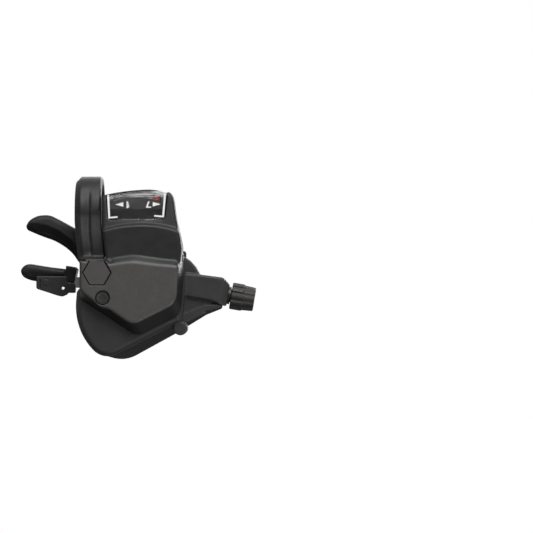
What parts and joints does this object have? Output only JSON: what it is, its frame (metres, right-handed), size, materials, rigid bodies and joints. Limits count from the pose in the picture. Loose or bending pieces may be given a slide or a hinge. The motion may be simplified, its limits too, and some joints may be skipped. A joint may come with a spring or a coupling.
{
  "type": "bicycle thumb shifter",
  "caption": "Two-lever bicycle thumb shifter for the right side: bar clamp, moulded housing with gear window, thumb and release levers, cable drum, ratchet and barrel adjuster.",
  "frame": {"origin": "centre of the handlebar clamp bore", "axes": "+X along the handlebar, inboard, towards the cable adjuster; +Y from the flat front cover to the levers; +Z towards the clamp's top, away from the housing"},
  "size_m": [0.0894, 0.043, 0.0688],
  "materials": {
    "cover_plastic": "fine moulded grain, satin black",
    "housing_plastic": "fine moulded grain, matte black",
    "plate_black": "black coated steel",
    "clamp_plastic": "black painted alloy",
    "zinc_steel": "zinc plated",
    "black_steel": "black oxide",
    "window_clear": "smoked clear plastic, glossy",
    "scale_black": "black print on plastic",
    "marker_red": "bright red-orange plastic",
    "gear_white": "natural acetal",
    "drum_plastic": "natural acetal",
    "bright_steel": "bright stamped steel",
    "spring_steel": "drawn wire",
    "lever_plastic": "matte black, soft sheen",
    "lever_plate_plastic": "matte black",
    "knob_plastic": "dark grey, ribbed",
    "collar_plastic": "black"
  },
  "bodies": {
    "housing": {"front_cover": "cover_plastic", "main_housing": "housing_plastic", "indicator_housing": "housing_plastic", "cable_boss": "housing_plastic", "base_plate": "plate_black", "clamp_band": "clamp_plastic", "clamp_bolt": "zinc_steel", "clamp_nut": "zinc_steel", "hex_cap": "cover_plastic", "cover_screw": "black_steel", "base_screws": "black_steel", "indicator_window": "window_clear", "indicator_scale": "scale_black", "needle_pin": "zinc_steel", "idler_pin": "zinc_steel", "main_axle": "zinc_steel", "drum_spring": "spring_steel", "hold_pawl_pin": "zinc_steel", "hold_pawl_spring": "spring_steel", "release_spring": "spring_steel", "thumb_spring": "spring_steel", "base_washer": "zinc_steel", "front_spacer": "zinc_steel", "rear_spacer": "zinc_steel", "lever_cap": "plate_black", "axle_nut": "zinc_steel"},
    "thumb_lever": {"thumb_arm": "bright_steel", "thumb_paddle": "lever_plastic", "paddle_plate": "lever_plate_plastic", "paddle_rivet": "lever_plate_plastic", "drive_pawl_pin": "zinc_steel", "drive_pawl_spring": "spring_steel"},
    "drive_pawl": {"drive_pawl": "bright_steel"},
    "release_lever": {"release_arm": "bright_steel", "release_pad": "lever_plastic"},
    "hold_pawl": {"hold_pawl": "bright_steel"},
    "drum": {"cable_drum": "drum_plastic", "ratchet_wheel": "bright_steel", "drum_pinion": "gear_white"},
    "idler": {"idler_gear": "gear_white"},
    "needle": {"indicator_needle": "marker_red"},
    "collar": {"detent_collar": "collar_plastic"},
    "barrel": {"barrel_adjuster": "knob_plastic"}
  },
  "joints": [
    {"name": "drum_turn", "type": "hinge", "parent": "housing", "child": "drum", "pos_m": [0.0153, -0.0098, -0.03269], "axis": [0, -1, 0], "range_deg": [0, 120], "deforming": ["drum_spring"]},
    {"name": "idler_turn", "type": "hinge", "parent": "housing", "child": "idler", "pos_m": [0.02362, -0.0137, -0.02984], "axis": [0, -1, 0], "range_deg": [-145, 0]},
    {"name": "needle_swing", "type": "hinge", "parent": "housing", "child": "needle", "pos_m": [0.0185, -0.0135, -0.013], "axis": [0, -1, 0], "range_deg": [0, 43]},
    {"name": "thumb_press", "type": "hinge", "parent": "housing", "child": "thumb_lever", "pos_m": [0.0153, 0.002, -0.03269], "axis": [0, -1, 0], "range_deg": [0, 40], "stiffness_Nm_per_rad": 0.06, "springref_deg": -28.65, "deforming": ["thumb_spring"]},
    {"name": "release_press", "type": "hinge", "parent": "housing", "child": "release_lever", "pos_m": [0.0153, 0.0062, -0.03269], "axis": [0, -1, 0], "range_deg": [0, 12], "stiffness_Nm_per_rad": 0.06, "springref_deg": -22.92, "deforming": ["release_spring"]},
    {"name": "hold_pawl_swing", "type": "hinge", "parent": "housing", "child": "hold_pawl", "pos_m": [0.02847, -0.0058, -0.03454], "axis": [0, -1, 0], "range_deg": [0, 12], "stiffness_Nm_per_rad": 0.0004, "springref_deg": -17.19, "deforming": ["hold_pawl_spring"]},
    {"name": "drive_pawl_swing", "type": "hinge", "parent": "thumb_lever", "child": "drive_pawl", "pos_m": [0.00213, -0.0058, -0.03084], "axis": [0, -1, 0], "range_deg": [0, 12], "stiffness_Nm_per_rad": 0.0004, "springref_deg": -17.19, "deforming": ["drive_pawl_spring"]},
    {"name": "barrel_travel", "type": "slide", "parent": "housing", "child": "collar", "axis": [0.986, 0, -0.1668], "range_m": [0, 0.004]},
    {"name": "barrel_turn", "type": "hinge", "parent": "collar", "child": "barrel", "pos_m": [0.0533, -0.0099, -0.0307], "axis": [0.986, 0, -0.1668], "range_deg": [0, 1800]}
  ],
  "couplings": [
    {"joint": "idler_turn", "follows": "drum_turn", "ratio": -1.2},
    {"joint": "needle_swing", "follows": "drum_turn", "ratio": 0.35294},
    {"joint": "barrel_turn", "follows": "barrel_travel", "rad_per_m": 7854}
  ]
}
